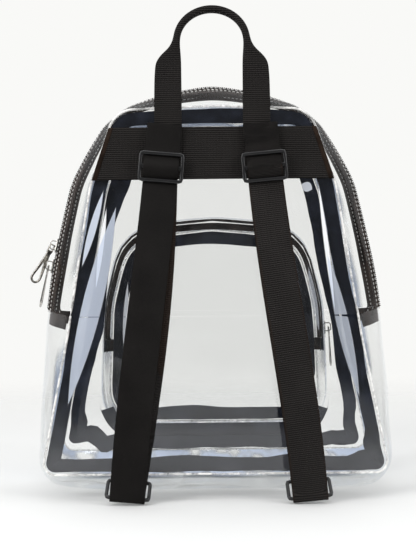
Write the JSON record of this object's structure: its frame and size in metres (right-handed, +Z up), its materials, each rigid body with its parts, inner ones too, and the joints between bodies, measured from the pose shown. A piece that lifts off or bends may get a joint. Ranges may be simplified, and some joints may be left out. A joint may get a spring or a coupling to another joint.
{
  "type": "clear stadium backpack",
  "caption": "Small clear vinyl backpack with a domed top, bellied zip gusset, front zip pocket, webbing yoke, top handle and adjustable webbing shoulder straps.",
  "frame": {"origin": "on the floor under the middle of the base", "axes": "+Z up, -Y the side with the shoulder straps, +Y the side with the pocket, +X to the right seen from the strap side"},
  "size_m": [0.2768, 0.1881, 0.3574],
  "materials": {
    "clear_vinyl": "clear, glossy sheet",
    "webbing": "ribbed black webbing",
    "binding": "black binding tape",
    "zip_tape": "woven black zip tape",
    "zip_coil": "dark moulded coil",
    "black_plastic": "moulded black plastic",
    "nickel": "nickel plated"
  },
  "bodies": {
    "bag": {"back_panel": "clear_vinyl", "front_panel": "clear_vinyl", "base_gusset": "clear_vinyl", "zip_strip_back": "clear_vinyl", "zip_strip_front": "clear_vinyl", "zip_tape_back": "zip_tape", "zip_tape_front": "zip_tape", "zip_coil": "zip_coil", "zip_end_right": "binding", "zip_end_left": "binding", "zip_slider_upper": "nickel", "zip_slider_lower": "nickel", "back_binding": "binding", "front_binding": "binding", "pocket_face": "clear_vinyl", "pocket_base_gusset": "clear_vinyl", "pocket_zip_strip_back": "clear_vinyl", "pocket_zip_strip_front": "clear_vinyl", "pocket_zip_tape_back": "zip_tape", "pocket_zip_tape_front": "zip_tape", "pocket_zip_coil": "zip_coil", "pocket_zip_end_right": "binding", "pocket_zip_end_left": "binding", "pocket_zip_slider": "nickel", "pocket_face_binding": "binding", "yoke": "webbing", "handle": "webbing", "strap_right": "webbing", "strap_left": "webbing", "triglide_right": "black_plastic", "triglide_left": "black_plastic", "ring_right": "black_plastic", "ring_left": "black_plastic", "tab_right": "webbing", "tab_left": "webbing"},
    "upper_pull": {"zip_pull_upper": "nickel"},
    "lower_pull": {"zip_pull_lower": "nickel"},
    "pocket_pull": {"pocket_zip_pull": "nickel"}
  },
  "joints": [
    {"name": "upper_pull_swing", "type": "hinge", "parent": "bag", "child": "upper_pull", "pos_m": [-0.12438, 0, 0.18711], "axis": [0, 1, 0], "range_deg": [0, 110]},
    {"name": "lower_pull_swing", "type": "hinge", "parent": "bag", "child": "lower_pull", "pos_m": [-0.12768, 0, 0.17122], "axis": [0, 1, 0], "range_deg": [0, 14]},
    {"name": "pocket_pull_swing", "type": "hinge", "parent": "bag", "child": "pocket_pull", "pos_m": [0.09623, 0.07444, 0.11823], "axis": [0, -1, 0], "range_deg": [0, 110]}
  ]
}
